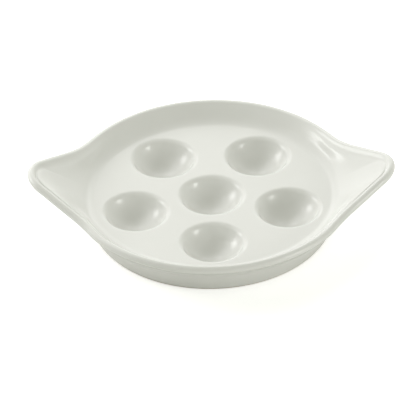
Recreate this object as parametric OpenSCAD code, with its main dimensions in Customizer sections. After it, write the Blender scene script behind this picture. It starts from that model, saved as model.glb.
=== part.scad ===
// Round porcelain serving dish with six shallow wells, a flared rim and two rising ears.
// Millimetres. +Z is up, the ears lie along X, and one well of the ring points to -Y.
// The origin is the middle of the foot, on the table.

/* [Rim] */
// Length over the tips of the two ears
length = 190; // [186:1:194]
// Outside diameter of the round part of the rim
rim_d = 151; // [150:0.2:152]
// Height of the round part of the rim
rim_h = 22.8; // [22.4:0.2:23.6]
// Thickness of the rounded lip, all round
lip_t = 4.2; // [3.8:0.2:4.6]
// Radius of the cove between the floor and the rim wall
cove_r = 9; // [7:0.5:10]

/* [Ears] */
// How far the tips of the ears stand above the round rim
ear_rise = 10; // [8:0.2:12]
// Radius of the round tip of an ear, along the middle of the lip
tip_r = 15; // [13:0.5:17]
// Direction that a straight side of an ear faces, measured from X
side_angle = 46; // [45.5:0.5:46.5]
// Radius of the hollow curve where an ear leaves the round rim
ear_fillet_r = 65; // [50:5:80]
// Distance from the middle, along X, where the rim starts to rise
rise_from = 56; // [55:0.5:57]

/* [Floor] */
// Diameter of the flat floor
deck_d = 122; // [121:0.5:123]
// Height of the floor's top face above the table
deck_z = 15; // [14.5:0.25:15.5]
// Thickness of the floor
deck_t = 3.4; // [2.8:0.2:3.6]

/* [Wells] */
// Diameter of a well over its rounded edge
well_d = 36.8; // [35.6:0.2:37]
// Depth of a well below the floor's top face
well_depth = 11; // [9:0.25:11.5]
// Radius of the rounded edge of a well
well_edge_r = 3.4; // [2.6:0.2:3.8]
// Wall thickness of a well, at its bottom
well_wall = 2.8; // [2.2:0.2:3]
// Radius of the ring that the outer wells lie on
ring_r = 41.4; // [40.6:0.2:41.6]

/* [Skirt] */
// Diameter of the foot, where the line of the skirt meets the table
foot_d = 124; // [123:0.5:125]
// Height of the unglazed foot
foot_h = 1.2; // [0.8:0.1:1.6]
// Radius of both edges of the foot
foot_edge_r = 0.6; // [0.3:0.1:0.8]
// Diameter of the skirt where it meets the underside of the rim
skirt_d = 139.4; // [138.6:0.2:140.6]
// Height where the skirt meets the underside of the rim
skirt_h = 14.3; // [13.5:0.1:14.8]
// Thickness of the skirt at the foot
skirt_t = 4.2; // [3.4:0.1:4.6]

/* [Hidden] */
$fn = 96;

glaze = "#e9e9e4";
bisque = "#d8d0c2";

lip_r = lip_t / 2;
rim_r = rim_d / 2 - lip_r;
lip_z = rim_h - lip_r;
deck_r = deck_d / 2;
deck_under = deck_z - deck_t;
well_r = well_d / 2;
foot_r = foot_d / 2;
skirt_r = skirt_d / 2;

function unit(a) = [cos(a), sin(a)];
function arc(c, r, a0, a1, n) = [for (i = [0 : n]) c + r * unit(a0 + (a1 - a0) * i / n)];
function from_second(list) = [for (i = [1 : len(list) - 1]) list[i]];
function reversed(list) = [for (i = [len(list) - 1 : -1 : 0]) list[i]];
function between(p, q, t) = p + (q - p) * t;
function smooth(t) = let (k = min(max(t, 0), 1)) k * k * (3 - 2 * k);

// ---- Plan of the lip: the line along its middle, round one ear ----
// A round tip, then a straight side, then a hollow fillet into the round rim.
tip_x = length / 2 - lip_r - tip_r;
side_out = tip_x * cos(side_angle) + tip_r;
fillet_along = -sqrt(pow(rim_r + ear_fillet_r, 2) - pow(side_out + ear_fillet_r, 2));
fillet_c = (side_out + ear_fillet_r) * unit(side_angle) + fillet_along * unit(side_angle + 90);
fillet_end = atan2(fillet_c[1], fillet_c[0]);

// The ear takes the turn up to where the rim starts to rise, either side of X
ear_half = acos(rise_from / rim_r);

// A stop on the line is [x, y, direction that the lip faces there]
function tip_stop(a) = concat([tip_x, 0] + tip_r * unit(a), [a]);
function fillet_stop(a) = concat(fillet_c - ear_fillet_r * unit(a), [a]);
function rim_stop(a) = concat(rim_r * unit(a), [a]);

TIP_STEPS = 8;
SIDE_STEPS = 6;
FILLET_STEPS = 4;
RIM_STEPS = 3;
half_ear = concat(
    [for (i = [0 : TIP_STEPS]) tip_stop(side_angle * i / TIP_STEPS)],
    [for (i = [1 : SIDE_STEPS])
        between(tip_stop(side_angle), fillet_stop(side_angle), i / SIDE_STEPS)],
    [for (i = [1 : FILLET_STEPS])
        fillet_stop(side_angle + (fillet_end - side_angle) * i / FILLET_STEPS)],
    [for (i = [1 : RIM_STEPS])
        rim_stop(fillet_end + (ear_half - fillet_end) * i / RIM_STEPS)]);
ear_stops = concat(
    [for (s = reversed(from_second(half_ear))) [s[0], -s[1], -s[2]]],
    half_ear);

// The lip is level round the rim, and still climbs where it reaches the tip of the ear
rise_to = length / 2 + 11;
function climb(x) = smooth((x - rise_from) / (rise_to - rise_from));
function lip_height(x) = lip_z + ear_rise * climb(x) / climb(length / 2 - lip_r);

// ---- Section through the rim wall ----
// The inner wall of the round rim is the straight line that touches the cove and the lip
cove_c = [deck_r, deck_z + cove_r];
cove_to_lip = [rim_r, lip_z] - cove_c;
wall_slope = atan2(cove_to_lip[1], cove_to_lip[0])
    + asin((cove_r + lip_r) / norm(cove_to_lip));
cove_end = cove_c + cove_r * unit(wall_slope - 90);

// Its underside is the straight line from the top of the skirt that touches the lip
crease_to_lip = [rim_r - skirt_r, lip_z - skirt_h];
under_slope = atan2(crease_to_lip[1], crease_to_lip[0])
    - asin(lip_r / norm(crease_to_lip));

// The lip turns from the end of the wall, over its outermost point, to the underside
LIP_OUT = -5;

COVE_STEPS = 4;
WALL_STEPS = 6;
LIP_STEPS = 6;
// The underside has as many points as the top, so that the two pair off across the wall
UNDER_STEPS = COVE_STEPS + WALL_STEPS - 2;

function skirt_side(z) = foot_r + (skirt_r - foot_r) * z / skirt_h;

// Plan point p, at height z
function raised(p, z) = [p[0], p[1], z];

// A straight line from plan point p at height z0 to plan point q at height z1
function straight(p, z0, q, z1, t) = raised(between(p, q, t), z0 + (z1 - z0) * t);

// Points over the top of the wall at a stop, from the floor out to the edge of the lip
function top_points(s, z) =
    let (
        out = unit(atan2(s[1], s[0])),
        lip = [s[0], s[1]],
        face = unit(s[2]),
        wall_end = wall_slope + 90)
    concat(
        [for (p = arc(cove_c, cove_r, -90, wall_slope - 90, COVE_STEPS))
            raised(p[0] * out, p[1])],
        [for (i = [1 : WALL_STEPS])
            straight(cove_end[0] * out, cove_end[1],
                lip + lip_r * cos(wall_end) * face, z + lip_r * sin(wall_end),
                i / WALL_STEPS)],
        [for (p = from_second(arc([0, z], lip_r, wall_end, LIP_OUT, LIP_STEPS)))
            raised(lip + p[0] * face, p[1])]);

// Points below it, from under the floor out to just short of the edge of the lip
function under_points(s, z) =
    let (
        out = unit(atan2(s[1], s[0])),
        lip = [s[0], s[1]],
        face = unit(s[2]),
        under_end = under_slope - 90,
        turn = arc([0, z], lip_r, under_end, LIP_OUT, LIP_STEPS))
    concat(
        [raised(deck_r * out, deck_under)],
        [raised(skirt_side(deck_under) * out, deck_under)],
        [for (i = [0 : UNDER_STEPS])
            straight(skirt_r * out, skirt_h,
                lip + lip_r * cos(under_end) * face, z + lip_r * sin(under_end),
                i / UNDER_STEPS)],
        [for (i = [1 : LIP_STEPS - 1]) raised(lip + turn[i][0] * face, turn[i][1])]);

// The whole section at a stop, as one closed loop
function section(s, z) = concat(top_points(s, z), reversed(under_points(s, z)));

// ---- Sections of the round parts ----
// A well is a bowl whose round inside touches its rounded edge
bowl_r = (pow(well_r, 2) + pow(well_depth, 2) - 2 * well_depth * well_edge_r)
    / (2 * well_depth);
bowl_c = [0, deck_z - well_depth + bowl_r];
edge_c = [well_r, deck_z - well_edge_r];
edge_turn = atan2(edge_c[1] - bowl_c[1], edge_c[0]);

// Its outside is a round dome that hangs from the underside of the floor
dome_h = well_depth + well_wall - deck_t;
dome_r = (pow(well_r, 2) + pow(dome_h, 2)) / (2 * dome_h);
dome_c = [0, deck_under - dome_h + dome_r];
dome_end = -acos(well_r / dome_r);
cup_profile = concat(
    arc(bowl_c, bowl_r, -90, edge_turn, 12),
    from_second(arc(edge_c, well_edge_r, edge_turn + 180, 90, 6)),
    arc(dome_c, dome_r, dome_end, -90, 10));

// The skirt leans out as it rises; its inside ends in a small fillet under the floor
SKIRT_FILLET = 1.2;
foot_in = skirt_side(foot_h) - skirt_t;
skirt_in = deck_r - 0.8;
skirt_profile = concat(
    [[foot_in, foot_h], [skirt_side(foot_h), foot_h], [skirt_side(deck_under), deck_under]],
    arc([skirt_in - SKIRT_FILLET, deck_under - SKIRT_FILLET], SKIRT_FILLET, 90, 0, 4));

skirt_lean = atan2(skirt_h, skirt_r - foot_r);
foot_out_c = [foot_r - foot_edge_r / tan(90 - skirt_lean / 2), foot_edge_r];
foot_profile = concat(
    arc([foot_in + foot_edge_r, foot_edge_r], foot_edge_r, 180, 270, 4),
    arc(foot_out_c, foot_edge_r, -90, skirt_lean - 90, 4),
    [[skirt_side(foot_h), foot_h], [foot_in, foot_h]]);

// Where the wells are: the ring runs anticlockwise from the front, seen from above
RING_COUNT = 5;
function ring_place(i) = ring_r * unit(-90 + 360 * i / RING_COUNT);

// ---- Pieces ----
module foot_ring() {
    color(bisque) rotate_extrude() polygon(foot_profile);
}

module skirt_wall() {
    color(glaze) rotate_extrude() polygon(skirt_profile);
}

module deck_plate() {
    places = concat([[0, 0]], [for (i = [0 : RING_COUNT - 1]) ring_place(i)]);
    color(glaze) difference() {
        translate([0, 0, deck_under]) cylinder(r = deck_r, h = deck_t);
        for (p = places) translate([p[0], p[1], deck_under - 1]) cylinder(r = well_r, h = deck_t + 2);
    }
}

module well(place) {
    color(glaze) translate([place[0], place[1], 0]) rotate_extrude() polygon(cup_profile);
}

module rim_arc(middle) {
    profile = [for (p = section(rim_stop(0), lip_z)) [p[0], p[2]]];
    turn = 180 - 2 * ear_half;
    color(glaze) rotate([0, 0, middle - turn / 2]) rotate_extrude(angle = turn) polygon(profile);
}

// A solid whose skin runs along a row of sections. The points of a section pair off across
// the wall and one is left over at the lip, so each end closes with a ladder of faces.
module lofted(sections) {
    n = len(sections[0]);
    pairs = (n - 1) / 2;
    last = (len(sections) - 1) * n;
    function two(a, b, c, d) = [[a, b, c], [a, c, d]];
    skin = [for (i = [0 : len(sections) - 2], j = [0 : n - 1])
        let (k = (j + 1) % n)
        each two(i * n + j, i * n + k, (i + 1) * n + k, (i + 1) * n + j)];
    first_end = concat(
        [for (j = [0 : pairs - 2]) each two(j, n - 1 - j, n - 2 - j, j + 1)],
        [[pairs - 1, pairs + 1, pairs]]);
    last_end = [for (f = first_end) [f[0] + last, f[2] + last, f[1] + last]];
    polyhedron(
        points = [for (loop = sections, p = loop) p],
        faces = concat(skin, first_end, last_end));
}

module handle() {
    color(glaze) lofted([for (s = ear_stops) section(s, lip_height(s[0]))]);
}

foot_ring();
skirt_wall();
deck_plate();
well([0, 0]);  // well_centre
well(ring_place(0));  // well_front
well(ring_place(1));  // well_front_right
well(ring_place(2));  // well_rear_right
well(ring_place(3));  // well_rear_left
well(ring_place(4));  // well_front_left
rim_arc(-90);  // rim_front
rim_arc(90);  // rim_rear
handle();  // handle_right
mirror([1, 0, 0]) handle();  // handle_left
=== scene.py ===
import math

import bpy
import numpy as np
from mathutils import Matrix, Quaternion, Vector
from mathutils.geometry import delaunay_2d_cdt


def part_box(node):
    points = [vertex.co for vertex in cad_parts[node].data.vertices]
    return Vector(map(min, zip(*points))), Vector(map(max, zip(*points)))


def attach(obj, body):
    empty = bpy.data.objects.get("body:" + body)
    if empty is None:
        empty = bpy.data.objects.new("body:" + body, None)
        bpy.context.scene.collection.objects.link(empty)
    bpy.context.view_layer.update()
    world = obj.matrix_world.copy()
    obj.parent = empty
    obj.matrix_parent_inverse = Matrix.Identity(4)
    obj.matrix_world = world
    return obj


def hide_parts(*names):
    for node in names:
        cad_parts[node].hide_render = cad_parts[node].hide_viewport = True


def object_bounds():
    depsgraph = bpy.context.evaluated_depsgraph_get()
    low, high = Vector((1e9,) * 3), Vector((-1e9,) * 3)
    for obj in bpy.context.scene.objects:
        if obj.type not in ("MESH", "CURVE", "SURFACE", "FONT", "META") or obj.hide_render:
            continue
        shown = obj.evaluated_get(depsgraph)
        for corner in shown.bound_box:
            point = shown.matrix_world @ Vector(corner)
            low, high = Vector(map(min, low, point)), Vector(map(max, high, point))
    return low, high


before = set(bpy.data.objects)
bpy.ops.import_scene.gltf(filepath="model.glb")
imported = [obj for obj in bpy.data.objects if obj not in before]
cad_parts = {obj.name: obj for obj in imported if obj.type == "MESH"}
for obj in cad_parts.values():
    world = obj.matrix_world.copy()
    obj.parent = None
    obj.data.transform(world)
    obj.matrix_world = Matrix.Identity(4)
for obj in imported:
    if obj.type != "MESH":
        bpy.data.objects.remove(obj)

cad_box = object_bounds()
MM = 0.001

# ---- Sizes that the frame gives ----


def span(node):
    """Lowest and highest corner of a CAD node, in millimetres."""
    low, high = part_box(node)
    return np.array(low) / MM, np.array(high) / MM


rim_low, rim_high = span("rim_front")
RIM_OUT = -rim_low[1]
RIM_TOP = rim_high[2]
# The angle from the long axis to the join between an ear and the round rim
EAR_HALF = math.acos(rim_high[0] / RIM_OUT)

deck_low, deck_high = span("deck_plate")
DECK_R = deck_high[0]
DECK_TOP = deck_high[2]
DECK_UNDER = deck_low[2]

foot_high = span("foot_ring")[1]
FOOT_R = foot_high[0]
FOOT_TOP = foot_high[2]

skirt_high = span("skirt_wall")[1]
SKIRT_R = skirt_high[0]
SKIRT_LEAN = (SKIRT_R - FOOT_R) / (skirt_high[2] - FOOT_TOP)

ear_high = span("handle_right")[1]
LENGTH = 2 * ear_high[0]

well_low, well_high = span("well_front")
WELL_R = (well_high[0] - well_low[0]) / 2

# ---- Sizes of the details ----
LIP_R = 2.1
COVE_R = 9.0
TIP_R = 15.0
SIDE_ANGLE = math.radians(46)
EAR_FILLET_R = 65.0
WELL_EDGE_R = 3.4
WELL_WALL = 2.8
# The weld reaches this far out along the floor's underside, and this far down the well
WELD_R = 0.6
WELD_DROP = 1.4
SKIRT_TOP = 14.3
SKIRT_T = 4.2
SKIRT_FILLET = 1.2
# How far inside the deck's edge the skirt's inner face ends
SKIRT_INSET = 0.8
FOOT_EDGE_R = 0.6
# The glaze ends above the bare foot in a small step
GLAZE_STEP = 0.15
# The lip of an ear stands above the ear's face. Where its inner side meets the face, as an
# offset from the middle of the lip, and how far round the lip it comes down: crisp along the
# front edge and soft along the rear one
GROOVE_FRONT = np.array([-3.3, 0.35])
GROOVE_REAR = np.array([-5.4, -1.3])
TURN_FRONT = math.radians(166)
TURN_REAR = math.radians(138)
# The lip changes from crisp to soft from this far in front of the long axis, over this length
SOFT_BEFORE = 10.0
SOFT_LENGTH = 32.0
# On the round rim the groove starts this far down the wall from the lip
GROOVE_DROP = 1.6
# How strongly the groove's two ends keep their directions, as a share of its width
GROOVE_PULL = 0.42
# An ear's face is steepest where it leaves the floor, and eases off towards the lip
EAR_ROOT_SLOPE = math.radians(37)
EAR_FACE_SLOPE = math.radians(26)
# The wall turns into the ear's face from this far before the round rim's end, over this
# length along the long axis
BLEND_BEFORE = 8.0
BLEND_LENGTH = 32.0
CREASE_R = 2.5
# The rise of the lip would end this far past the tip, so that the tip is still climbing
RISE_PAST_TIP = 11.0

LIP_MID = RIM_OUT - LIP_R
LIP_Z = RIM_TOP - LIP_R
EAR_RISE = ear_high[2] - RIM_TOP
RISE_FROM = LIP_MID * math.cos(EAR_HALF)
RISE_TO = LENGTH / 2 + RISE_PAST_TIP
INSIDE_R = FOOT_R - SKIRT_T
WELL_DEPTH = DECK_TOP - well_low[2] - WELL_WALL
BOWL_R = (WELL_R ** 2 + WELL_DEPTH ** 2 - 2 * WELL_DEPTH * WELL_EDGE_R) / (2 * WELL_DEPTH)

WELL_NODES = ["well_centre", "well_front", "well_front_right", "well_rear_right",
              "well_rear_left", "well_front_left"]

# ---- Steps along the curves ----
TIP_STEPS = 16
SIDE_STEPS = 10
FILLET_STEPS = 12
ROOT_STEPS = 5
RIM_STEPS = 44
COVE_STEPS = 10
WALL_STEPS = 20
GROOVE_STEPS = 8
LIP_STEPS = 26
UNDER_STEPS = 18
CREASE_STEPS = 8
SKIRT_STEPS = 12
SKIRT_INSIDE_STEPS = 10
SKIRT_FILLET_STEPS = 8
FOOT_EDGE_STEPS = 6
WELL_STEPS = 96
BOWL_STEPS = 28
WELL_EDGE_STEPS = 12
WELD_STEPS = 6
DOME_STEPS = 24
# The floor's inner points stand this far apart, and at least the margin from its edges
PLATE_SPACING = 3.0
PLATE_MARGIN = 0.6 * PLATE_SPACING

# ---- Plane curves ----


def unit(angle):
    return np.array([math.cos(angle), math.sin(angle)])


def arc(centre, radius, start, end, steps):
    angles = np.radians(np.linspace(start, end, steps + 1))
    return np.array(centre) + radius * np.column_stack([np.cos(angles), np.sin(angles)])


def bezier(a, b, c, d, steps):
    t = np.linspace(0, 1, steps + 1)[:, None]
    a, b, c, d = (np.array(p, float) for p in (a, b, c, d))
    return a * (1 - t) ** 3 + 3 * b * t * (1 - t) ** 2 + 3 * c * t ** 2 * (1 - t) + d * t ** 3


def line(a, b, steps):
    t = np.linspace(0, 1, steps + 1)[:, None]
    return np.array(a) * (1 - t) + np.array(b) * t


def smooth(t):
    k = min(max(t, 0), 1)
    return k * k * (3 - 2 * k)


def mixed(a, b, part):
    return a * (1 - part) + b * part


def joined(*runs):
    """Runs of points in one row; each run after the first leaves out its first point."""
    return np.concatenate([runs[0]] + [r[1:] for r in runs[1:]])


def skirt_side(z):
    """The skirt's outer radius at height z."""
    return FOOT_R + SKIRT_LEAN * (z - FOOT_TOP)


# ---- The middle line of the lip ----
TIP_X = LENGTH / 2 - LIP_R - TIP_R
SIDE_OUT = TIP_X * math.cos(SIDE_ANGLE) + TIP_R
FILLET_ALONG = -math.sqrt((LIP_MID + EAR_FILLET_R) ** 2 - (SIDE_OUT + EAR_FILLET_R) ** 2)
FILLET_C = ((SIDE_OUT + EAR_FILLET_R) * unit(SIDE_ANGLE)
            + FILLET_ALONG * unit(SIDE_ANGLE + math.pi / 2))
FILLET_END = math.atan2(FILLET_C[1], FILLET_C[0])


def quarter_line():
    """Stops (x, y, direction that the lip faces) from the tip of the ear to the rear."""
    tip = [(*(np.array([TIP_X, 0]) + TIP_R * unit(a)), a)
           for a in np.linspace(0, SIDE_ANGLE, TIP_STEPS + 1)]
    fillet = [(*(FILLET_C - EAR_FILLET_R * unit(a)), a)
              for a in np.linspace(SIDE_ANGLE, FILLET_END, FILLET_STEPS + 1)]
    side = line(tip[-1], fillet[0], SIDE_STEPS)
    root = [(*(LIP_MID * unit(a)), a) for a in np.linspace(FILLET_END, EAR_HALF, ROOT_STEPS + 1)]
    rim = [(*(LIP_MID * unit(a)), a) for a in np.linspace(EAR_HALF, math.pi / 2, RIM_STEPS + 1)]
    return joined(np.array(tip), side, np.array(fillet), np.array(root), np.array(rim))


def whole_line():
    """The stops of all four quarters, anticlockwise from the tip of the right ear."""
    first = quarter_line()
    second = [(-x, y, math.pi - a) for x, y, a in first[::-1]]
    half = joined(first, np.array(second))
    back = [(x, -y, 2 * math.pi - a) for x, y, a in half[::-1]]
    return joined(half, np.array(back))[:-1]


def climb(x):
    """How far the lip has risen towards an ear's tip, from 0 on the round rim."""
    return smooth((abs(x) - RISE_FROM) / (RISE_TO - RISE_FROM))


def lip_height(x):
    return LIP_Z + EAR_RISE * climb(x) / climb(LENGTH / 2 - LIP_R)


# ---- The section through the rim ----
COVE_C = np.array([DECK_R, DECK_TOP + COVE_R])
TO_LIP = np.array([LIP_MID, LIP_Z]) - COVE_C
WALL_SLOPE = (math.atan2(TO_LIP[1], TO_LIP[0])
              + math.asin((COVE_R + LIP_R) / np.linalg.norm(TO_LIP)))
# How far round the lip its outline runs the same way as the wall
WALL_TURN = WALL_SLOPE + math.pi / 2
GROOVE_RIM = LIP_R * unit(WALL_TURN) - GROOVE_DROP * unit(WALL_SLOPE)
CREASE = np.array([skirt_side(SKIRT_TOP), SKIRT_TOP])
FROM_CREASE = np.array([LIP_MID, LIP_Z]) - CREASE
UNDER_SLOPE = (math.atan2(FROM_CREASE[1], FROM_CREASE[0])
               - math.asin(LIP_R / np.linalg.norm(FROM_CREASE)))
UNDER_TURN = UNDER_SLOPE - math.pi / 2


def lifted(plan, z):
    return np.array([plan[0], plan[1], z])


def sloping(plan, slope, length):
    """A step of that length in that plan direction, rising at the slope."""
    plan = plan / np.linalg.norm(plan)
    return length * lifted(math.cos(slope) * plan, math.sin(slope))


def on_lip(middle, face, angle):
    """The point on the lip at that angle, which starts where the lip faces and goes up."""
    return middle + LIP_R * lifted(math.cos(angle) * face, math.sin(angle))


def lip_way(face, angle):
    """The way the lip's outline runs there, over the top and down its outer side."""
    return lifted(math.sin(angle) * face, -math.cos(angle))


def inner_side(middle, face, out, ear, rear):
    """The cove, wall and groove, and the angle on the lip at which they end."""
    root = mixed(WALL_SLOPE, EAR_ROOT_SLOPE, ear)
    slope = mixed(WALL_SLOPE, EAR_FACE_SLOPE, ear)
    turn = mixed(WALL_TURN, mixed(TURN_FRONT, TURN_REAR, rear), ear)
    foot = mixed(GROOVE_RIM, mixed(GROOVE_FRONT, GROOVE_REAR, rear), ear)

    cove = np.array([lifted(p[0] * out, p[1])
                     for p in arc(COVE_C, COVE_R, -90, math.degrees(root) - 90, COVE_STEPS)])
    start = cove[-1]
    groove = middle + lifted(foot[0] * face, foot[1])
    run = groove - start
    reach = np.linalg.norm(run) / 3
    wall = bezier(start, start + sloping(run[:2], root, reach),
                  groove - sloping(run[:2], slope, reach), groove, WALL_STEPS)

    end = on_lip(middle, face, turn)
    pull = GROOVE_PULL * np.linalg.norm(end - groove)
    rise = bezier(groove, groove + sloping(run[:2], slope, pull),
                  end - pull * lip_way(face, turn), end, GROOVE_STEPS)
    return joined(cove, wall, rise), turn


def outer_side(start, face, out):
    """The underside, the bend at the crease and the skirt, down to the top of the foot."""
    crease = lifted(CREASE[0] * out, CREASE[1])
    outward = (start - crease)[:2]
    above = crease + sloping(outward, UNDER_SLOPE, CREASE_R)
    skirt_way = lifted(SKIRT_LEAN * out, 1)
    below = crease - CREASE_R * skirt_way / np.linalg.norm(skirt_way)
    reach = np.linalg.norm(start - above) / 3
    under = bezier(start, start + reach * lip_way(face, UNDER_TURN),
                   above + sloping(outward, UNDER_SLOPE, reach), above, UNDER_STEPS)
    bend = bezier(above, (above + crease) / 2, (below + crease) / 2, below, CREASE_STEPS)
    split = lifted(skirt_side(DECK_UNDER) * out, DECK_UNDER)
    foot_line = lifted(FOOT_R * out, FOOT_TOP)
    return joined(under, bend, line(below, split, 1), line(split, foot_line, SKIRT_STEPS))


def rim_section(stop):
    """Points from the deck's edge, over the lip, down to the top of the foot."""
    x, y, facing = stop
    middle = lifted((x, y), lip_height(x))
    face = unit(facing)
    out = unit(math.atan2(y, x))
    ear = smooth((abs(x) - RISE_FROM + BLEND_BEFORE) / BLEND_LENGTH)
    rear = smooth((y + SOFT_BEFORE) / SOFT_LENGTH)
    inside, turn = inner_side(middle, face, out, ear, rear)
    lip = np.array([on_lip(middle, face, a)
                    for a in np.linspace(turn, UNDER_TURN, LIP_STEPS + 1)])
    return joined(inside, lip, outer_side(lip[-1], face, out))


def grid_normals(grid):
    """Unit normals of a grid of points that closes on itself in its first direction."""
    along = np.roll(grid, -1, 0) - np.roll(grid, 1, 0)
    across = np.empty_like(grid)
    before = grid[:, 1:-1] - grid[:, :-2]
    after = grid[:, 2:] - grid[:, 1:-1]
    a = np.linalg.norm(before, axis=2, keepdims=True)
    b = np.linalg.norm(after, axis=2, keepdims=True)
    across[:, 1:-1] = before * b / a + after * a / b
    across[:, 0] = grid[:, 1] - grid[:, 0]
    across[:, -1] = grid[:, -1] - grid[:, -2]
    normals = np.cross(across, along)
    return normals / np.linalg.norm(normals, axis=2, keepdims=True)


# ---- Building closed meshes ----


class Solid:
    """A closed mesh in the making. A face's corners have normals, or the face is flat."""

    def __init__(self):
        self.points = []
        self.places = {}
        self.faces = []

    def corner(self, point):
        key = tuple(np.round(point, 5) + 0.0)
        if key not in self.places:
            self.places[key] = len(self.points)
            self.points.append(key)
        return self.places[key]

    def face(self, points, normals=None):
        corners = [self.corner(p) for p in points]
        keep = [i for i, c in enumerate(corners) if c != corners[i - 1]]
        if len(keep) > 2:
            self.faces.append(([corners[i] for i in keep],
                               None if normals is None else [tuple(normals[i]) for i in keep]))

    def grid(self, points, normals=None, closed=False):
        """Faces between neighbouring rows; closed joins the last row to the first."""
        rows = len(points)
        for i in range(rows if closed else rows - 1):
            k = (i + 1) % rows
            for j in range(points.shape[1] - 1):
                ring = [(i, j), (i, j + 1), (k, j + 1), (k, j)]
                self.face([points[r] for r in ring],
                          None if normals is None else [normals[r] for r in ring])


def make_object(name, solid, material):
    mesh = bpy.data.meshes.new(name)
    mesh.from_pydata([Vector(p) * MM for p in solid.points], [], [f[0] for f in solid.faces])
    mesh.polygons.foreach_set("use_smooth", [True] * len(mesh.polygons))
    normals = []
    for (corners, given), polygon in zip(solid.faces, mesh.polygons):
        normals += given or [tuple(polygon.normal)] * len(corners)
    mesh.normals_split_custom_set(normals)
    mesh.materials.append(material)
    made = bpy.data.objects.new(name, mesh)
    bpy.context.scene.collection.objects.link(made)
    return made


def profile_normals(profile, first=None, last=None):
    """Unit normals (radius, height) to the left of the way the profile runs."""
    step = np.diff(profile, axis=0)
    length = np.linalg.norm(step, axis=1)[:, None]
    way = np.empty_like(profile)
    way[1:-1] = step[:-1] / length[:-1] * length[1:] + step[1:] / length[1:] * length[:-1]
    way[0] = step[0]
    way[-1] = step[-1]
    normals = np.column_stack([-way[:, 1], way[:, 0]])
    normals /= np.linalg.norm(normals, axis=1)[:, None]
    if first is not None:
        normals[0] = first
    if last is not None:
        normals[-1] = last
    return normals


def turned_run(solid, profile, angles, centre=(0, 0), normals=None):
    """Adds the surface that a profile (radius, height) sweeps round an upright axis."""
    ring = np.column_stack([np.cos(angles), np.sin(angles)])

    def swept(rows, middle):
        flat = ring[:, None, :] * rows[None, :, :1] + np.array(middle)
        tall = np.broadcast_to(rows[None, :, 1:], (len(ring), len(rows), 1))
        return np.concatenate([flat, tall], axis=2)

    profile = np.array(profile, float)
    solid.grid(swept(profile, centre), None if normals is None else swept(normals, (0, 0)),
               closed=True)


def plate(solid, outline, holes, z, facing_up):
    """Adds a flat face at height z with round holes, each (centre x, centre y, loop)."""
    loops = [outline] + [h[2] for h in holes]
    points = [tuple(p[:2]) for loop in loops for p in loop]
    edges = []
    first = 0
    for loop in loops:
        edges += [(first + i, first + (i + 1) % len(loop)) for i in range(len(loop))]
        first += len(loop)
    reach = max(math.hypot(*p[:2]) for p in outline)
    rounds = [(x, y, math.hypot(loop[0][0] - x, loop[0][1] - y)) for x, y, loop in holes]

    def solid_at(x, y, margin):
        return math.hypot(x, y) < reach - margin and all(
            math.hypot(x - cx, y - cy) > r + margin for cx, cy, r in rounds)

    count = int(reach / PLATE_SPACING) + 1
    for i in range(-count, count + 1):
        for j in range(-count - 2, count + 3):
            x = (i + 0.5 * (j % 2)) * PLATE_SPACING
            y = j * PLATE_SPACING * math.sqrt(3) / 2
            if solid_at(x, y, PLATE_MARGIN):
                points.append((x, y))
    made = delaunay_2d_cdt([Vector(p) for p in points], edges, [], 0, 1e-6)
    for face in made[2]:
        corners = [made[0][i] for i in face]
        mid = sum(corners, Vector((0, 0))) / len(corners)
        if not solid_at(*mid, 0):
            continue
        a, b = corners[1] - corners[0], corners[2] - corners[0]
        if (a.x * b.y - a.y * b.x > 0) != facing_up:
            corners.reverse()
        solid.face([(*c, z) for c in corners])


# ---- Materials ----


def node_material(name):
    material = bpy.data.materials.new(name)
    material.use_nodes = True
    tree = material.node_tree
    shader = tree.nodes["Principled BSDF"]
    return material, tree, shader


def noise(tree, scale, detail, roughness=0.5):
    """Noise laid out in the object's own space, at so many waves a metre."""
    place = tree.nodes.new("ShaderNodeTexCoord")
    made = tree.nodes.new("ShaderNodeTexNoise")
    made.inputs["Scale"].default_value = scale
    made.inputs["Detail"].default_value = detail
    made.inputs["Roughness"].default_value = roughness
    tree.links.new(place.outputs["Object"], made.inputs["Vector"])
    return made.outputs["Fac"]


def ramp(tree, factor, low, high, start=0.3, end=0.7):
    """Blends from the low colour to the high one as the factor goes from start to end."""
    made = tree.nodes.new("ShaderNodeValToRGB")
    made.color_ramp.elements[0].position = start
    made.color_ramp.elements[0].color = (*low, 1)
    made.color_ramp.elements[1].position = end
    made.color_ramp.elements[1].color = (*high, 1)
    tree.links.new(factor, made.inputs["Fac"])
    return made.outputs["Color"]


def bump(tree, height, distance, strength, below=None):
    """Relief of that depth in metres, laid over an earlier one when below is given."""
    made = tree.nodes.new("ShaderNodeBump")
    made.inputs["Distance"].default_value = distance
    made.inputs["Strength"].default_value = strength
    tree.links.new(height, made.inputs["Height"])
    if below is not None:
        tree.links.new(below, made.inputs["Normal"])
    return made.outputs["Normal"]


def glaze_material():
    """White glaze: a clear gloss over a faintly warm body, with a slight unevenness."""
    material, tree, shader = node_material("porcelain_glaze")
    tone = ramp(tree, noise(tree, 38, 3), (0.862, 0.866, 0.848), (0.876, 0.880, 0.863))
    tree.links.new(tone, shader.inputs["Base Color"])
    rough = ramp(tree, noise(tree, 120, 2), (0.20,) * 3, (0.23,) * 3)
    tree.links.new(rough, shader.inputs["Roughness"])
    waves = bump(tree, noise(tree, 55, 1), 0.0004, 0.12)
    peel = bump(tree, noise(tree, 620, 2), 0.00005, 0.10, waves)
    tree.links.new(peel, shader.inputs["Normal"])
    shader.inputs["IOR"].default_value = 1.5
    return material


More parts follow.
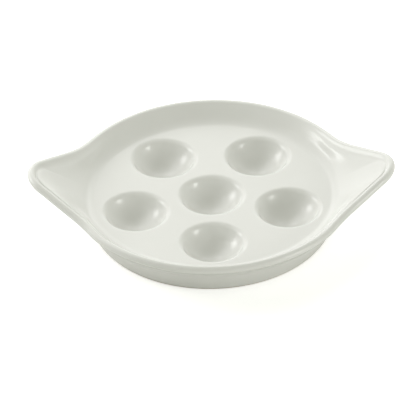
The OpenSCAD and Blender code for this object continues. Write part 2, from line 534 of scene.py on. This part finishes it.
def bisque_material():
    """The bare, ground foot: matt, pale and finely grained."""
    material, tree, shader = node_material("bare_bisque")
    tone = ramp(tree, noise(tree, 900, 6, 0.7), (0.70, 0.665, 0.61), (0.80, 0.77, 0.72))
    tree.links.new(tone, shader.inputs["Base Color"])
    grain = bump(tree, noise(tree, 2400, 4, 0.7), 0.0001, 0.5)
    tree.links.new(grain, shader.inputs["Normal"])
    shader.inputs["Roughness"].default_value = 0.85
    return material


# ---- The pieces ----
glaze = glaze_material()
bisque = bisque_material()
stops = whole_line()
# One row of points for each stop; the skirt's own share of a row starts at SPLIT
shell = np.array([rim_section(stop) for stop in stops])
shell_normals = grid_normals(shell)
shell_normals[:, 0] = (0, 0, 1)
polar = np.arctan2(stops[:, 1], stops[:, 0])
well_turn = np.linspace(0, 2 * math.pi, WELL_STEPS, endpoint=False)
SPLIT = shell.shape[1] - 1 - SKIRT_STEPS
EAR_STOPS = TIP_STEPS + SIDE_STEPS + FILLET_STEPS + ROOT_STEPS
QUARTER = EAR_STOPS + RIM_STEPS


def finish_piece(name, node, solid, material):
    """Makes the object, hides the CAD node that it stands for and hangs it under the root body.
    """
    piece = make_object(name, solid, material)
    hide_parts(node)
    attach(piece, "root")


def rim_piece(name, node, first, last):
    """The part of the rim between two stops, with a flat face at each end."""
    pick = np.arange(first, last + 1) % len(stops)
    skin = shell[pick, :SPLIT + 1]
    low = np.column_stack([DECK_R * np.cos(polar[pick]), DECK_R * np.sin(polar[pick]),
                           np.full(len(pick), DECK_UNDER)])
    solid = Solid()
    solid.grid(skin, shell_normals[pick, :SPLIT + 1])
    solid.grid(np.stack([skin[:, -1], low, skin[:, 0]], axis=1))
    solid.face([low[0], *skin[0][::-1]])
    solid.face([*skin[-1], low[-1]])
    finish_piece(name, node, solid, glaze)


def skirt_piece():
    """The tapered wall, rounded inside where it meets the floor."""
    fillet_c = [DECK_R - SKIRT_INSET - SKIRT_FILLET, DECK_UNDER - SKIRT_FILLET]
    fillet = arc(fillet_c, SKIRT_FILLET, 0, 90, SKIRT_FILLET_STEPS)
    inner = joined(line([INSIDE_R, FOOT_TOP], fillet[0], SKIRT_INSIDE_STEPS), fillet)
    solid = Solid()
    solid.grid(shell[:, SPLIT:], shell_normals[:, SPLIT:], closed=True)
    turned_run(solid, [[FOOT_R, FOOT_TOP], inner[0]], polar)
    turned_run(solid, inner, polar, normals=profile_normals(inner, last=(0, -1)))
    turned_run(solid, [inner[-1], [DECK_R, DECK_UNDER], [SKIRT_R, DECK_UNDER]], polar)
    finish_piece("skirt_wall_glazed", "skirt_wall", solid, glaze)


def foot_piece():
    """The bare foot, a step inside the edge of the glaze and rounded where it rests."""
    lean = math.degrees(math.atan2(1, SKIRT_LEAN))
    table_r = skirt_side(0) - GLAZE_STEP
    outer_c = [table_r - FOOT_EDGE_R / math.tan(math.radians(90 - lean / 2)), FOOT_EDGE_R]
    profile = joined(
        line([FOOT_R - GLAZE_STEP, FOOT_TOP],
             outer_c + FOOT_EDGE_R * unit(math.radians(lean - 90)), 1),
        arc(outer_c, FOOT_EDGE_R, lean - 90, -90, FOOT_EDGE_STEPS),
        line([outer_c[0], 0], [INSIDE_R + FOOT_EDGE_R, 0], 1),
        arc([INSIDE_R + FOOT_EDGE_R, FOOT_EDGE_R], FOOT_EDGE_R, 270, 180, FOOT_EDGE_STEPS),
        line([INSIDE_R, FOOT_EDGE_R], [INSIDE_R, FOOT_TOP], 1))
    solid = Solid()
    turned_run(solid, profile, polar, normals=profile_normals(profile))
    turned_run(solid, [profile[-1], profile[0]], polar)
    finish_piece("foot_ring_bare", "foot_ring", solid, bisque)


def well_loop(centre, radius):
    return np.array(centre) + radius * np.column_stack([np.cos(well_turn), np.sin(well_turn)])


def well_middle(node):
    low, high = span(node)
    return (low[:2] + high[:2]) / 2


def bowl_profile():
    """The inside of a well, from its middle over the rounded edge to the floor."""
    bowl_c = np.array([0, DECK_TOP - WELL_DEPTH + BOWL_R])
    edge_c = np.array([WELL_R, DECK_TOP - WELL_EDGE_R])
    to_edge = edge_c - bowl_c
    turn = math.degrees(math.atan2(to_edge[1], to_edge[0]))
    return joined(arc(bowl_c, BOWL_R, -90, turn, BOWL_STEPS),
                  arc(edge_c, WELL_EDGE_R, turn + 180, 90, WELL_EDGE_STEPS))


def dome_profile():
    """The outside of a well, from the floor's underside through the weld to its middle."""
    dome_h = WELL_DEPTH + WELL_WALL - (DECK_TOP - DECK_UNDER)
    dome_r = (WELL_R ** 2 + dome_h ** 2) / (2 * dome_h)
    dome_c = np.array([0, DECK_UNDER - dome_h + dome_r])
    turn = -math.asin((dome_c[1] - DECK_UNDER + WELD_DROP) / dome_r)
    dome = arc(dome_c, dome_r, math.degrees(turn), -90, DOME_STEPS)
    start = np.array([WELL_R + WELD_R, DECK_UNDER])
    weld = bezier(start, start - [WELD_R / 2, 0], dome[0] + WELD_R * unit(turn + math.pi / 2),
                  dome[0], WELD_STEPS)
    return joined(weld, dome)


def well_piece(node):
    """A bowl with a rounded edge, welded under the floor with a small fillet."""
    inside = bowl_profile()
    under = dome_profile()
    middle = well_middle(node)
    solid = Solid()
    turned_run(solid, inside, well_turn, middle,
               profile_normals(inside, first=(0, 1), last=(0, 1)))
    turned_run(solid, [inside[-1], under[0]], well_turn, middle)
    turned_run(solid, under, well_turn, middle,
               profile_normals(under, first=(0, -1), last=(0, -1)))
    finish_piece(node + "_glazed", node, solid, glaze)


def deck_piece():
    """The flat floor with a round hole for each well."""
    solid = Solid()
    edge = DECK_R * np.column_stack([np.cos(polar), np.sin(polar)])
    middles = [well_middle(node) for node in WELL_NODES]
    for z, radius, facing_up in ((DECK_TOP, WELL_R, True),
                                 (DECK_UNDER, WELL_R + WELD_R, False)):
        holes = [(*m, well_loop(m, radius)) for m in middles]
        plate(solid, edge, holes, z, facing_up)
    for m in middles:
        turned_run(solid, [[WELL_R + WELD_R, DECK_UNDER], [WELL_R, DECK_TOP]], well_turn, m)
    turned_run(solid, [[DECK_R, DECK_TOP], [DECK_R, DECK_UNDER]], polar)
    finish_piece("deck_plate_glazed", "deck_plate", solid, glaze)


half_turn = 2 * QUARTER
rim_piece("handle_right_glazed", "handle_right", -EAR_STOPS, EAR_STOPS)
rim_piece("rim_rear_glazed", "rim_rear", EAR_STOPS, half_turn - EAR_STOPS)
rim_piece("handle_left_glazed", "handle_left", half_turn - EAR_STOPS, half_turn + EAR_STOPS)
rim_piece("rim_front_glazed", "rim_front", half_turn + EAR_STOPS, 2 * half_turn - EAR_STOPS)
skirt_piece()
foot_piece()
deck_piece()
for well_node in WELL_NODES:
    well_piece(well_node)

# ---- Floor, light and camera, in metres ----
FLOOR_SIZE = 12.0
LAMP_AWAY = 1.3
# Direction from the dish, side length, power in watts and colour of each softbox
SOFTBOXES = {
    "window": ((-0.86, 0.30, 0.42), 0.45, 2.9, (1, 1, 1)),
    "window_wide": ((-0.68, 0.57, 0.46), 1.8, 10.6, (1, 0.99, 1)),
    "key": ((-0.30, 0.72, 0.62), 1.5, 1.2, (1, 0.99, 1)),
    "rear": ((0.05, 0.90, 0.42), 0.9, 2.9, (1, 1, 1)),
    "rear_right": ((0.50, 0.78, 0.38), 0.9, 1.4, (1, 1, 1)),
    "fill": ((0.84, -0.47, 0.28), 0.34, 2.8, (1, 1, 0.98)),
    "fill_low": ((0.88, -0.46, 0.12), 0.7, 1.2, (1, 1, 0.97)),
}
SKY_LIGHT = 0.43
SKY_COLOUR = (0.985, 1.0, 0.87)
# Plain white that the camera alone sees on the backdrop
FLOOR_WHITE = 0.5
SKY_WHITE = 0.6

CAMERA_AWAY = 6.0
CAMERA_AZIMUTH = math.radians(-0.15)
CAMERA_ELEVATION = math.radians(35.95)
CAMERA_ROLL = math.radians(-1.35)
# How much of the scene the picture takes in, at the dish
PICTURE_WIDTH = 0.2116
# The middle of the picture, from the middle of the rim
AIM_RIGHT = -0.0036
AIM_UP = -0.01125


def seen_white(tree, other, strength):
    """Adds plain white to what the camera sees of a backdrop, and not to its light."""
    path = tree.nodes.new("ShaderNodeLightPath")
    white = tree.nodes.new("ShaderNodeEmission")
    part = tree.nodes.new("ShaderNodeMath")
    both = tree.nodes.new("ShaderNodeAddShader")
    part.operation = "MULTIPLY"
    part.inputs[1].default_value = strength
    tree.links.new(path.outputs["Is Camera Ray"], part.inputs[0])
    tree.links.new(part.outputs["Value"], white.inputs["Strength"])
    tree.links.new(other, both.inputs[0])
    tree.links.new(white.outputs["Emission"], both.inputs[1])
    return both.outputs["Shader"]


def make_floor():
    mesh = bpy.data.meshes.new("floor")
    half = FLOOR_SIZE / 2
    z = cad_box[0].z
    mesh.from_pydata([(-half, -half, z), (half, -half, z), (half, half, z), (-half, half, z)],
                     [], [(0, 1, 2, 3)])
    floor = bpy.data.objects.new("floor", mesh)
    bpy.context.scene.collection.objects.link(floor)
    material, tree, shader = node_material("pale_floor")
    shader.inputs["Base Color"].default_value = (0.93, 0.93, 0.92, 1)
    shader.inputs["Roughness"].default_value = 0.9
    seen = seen_white(tree, shader.outputs["BSDF"], FLOOR_WHITE)
    tree.links.new(seen, tree.nodes["Material Output"].inputs["Surface"])
    mesh.materials.append(material)


def make_world():
    world = bpy.data.worlds.new("studio")
    world.use_nodes = True
    tree = world.node_tree
    tree.nodes.clear()
    sky = tree.nodes.new("ShaderNodeBackground")
    output = tree.nodes.new("ShaderNodeOutputWorld")
    sky.inputs["Color"].default_value = (*SKY_COLOUR, 1)
    sky.inputs["Strength"].default_value = SKY_LIGHT
    seen = seen_white(tree, sky.outputs["Background"], SKY_WHITE)
    tree.links.new(seen, output.inputs["Surface"])
    bpy.context.scene.world = world


def softbox(name, way, size, power, colour):
    """A square area light in that direction, facing the dish."""
    data = bpy.data.lights.new(name, "AREA")
    data.shape = "SQUARE"
    data.size = size
    data.energy = power
    data.color = colour
    lamp = bpy.data.objects.new(name, data)
    bpy.context.scene.collection.objects.link(lamp)
    lamp.location = Vector(way).normalized() * LAMP_AWAY
    lamp.rotation_mode = "QUATERNION"
    lamp.rotation_quaternion = Vector(way).to_track_quat("Z", "Y")


def make_camera():
    data = bpy.data.cameras.new("camera")
    camera = bpy.data.objects.new("camera", data)
    bpy.context.scene.collection.objects.link(camera)
    back = Vector((math.sin(CAMERA_AZIMUTH) * math.cos(CAMERA_ELEVATION),
                   -math.cos(CAMERA_AZIMUTH) * math.cos(CAMERA_ELEVATION),
                   math.sin(CAMERA_ELEVATION)))
    turn = back.to_track_quat("Z", "Y") @ Quaternion((0, 0, 1), CAMERA_ROLL)
    right, up = turn @ Vector((1, 0, 0)), turn @ Vector((0, 1, 0))
    aim = Vector((0, 0, RIM_TOP * MM)) + AIM_RIGHT * right + AIM_UP * up
    camera.location = aim + CAMERA_AWAY * back
    camera.rotation_mode = "QUATERNION"
    camera.rotation_quaternion = turn
    data.lens = data.sensor_width * CAMERA_AWAY / PICTURE_WIDTH
    bpy.context.scene.camera = camera


make_floor()
make_world()
for lamp_name, settings in SOFTBOXES.items():
    softbox(lamp_name, *settings)
make_camera()
bpy.context.scene.view_settings.view_transform = "Standard"
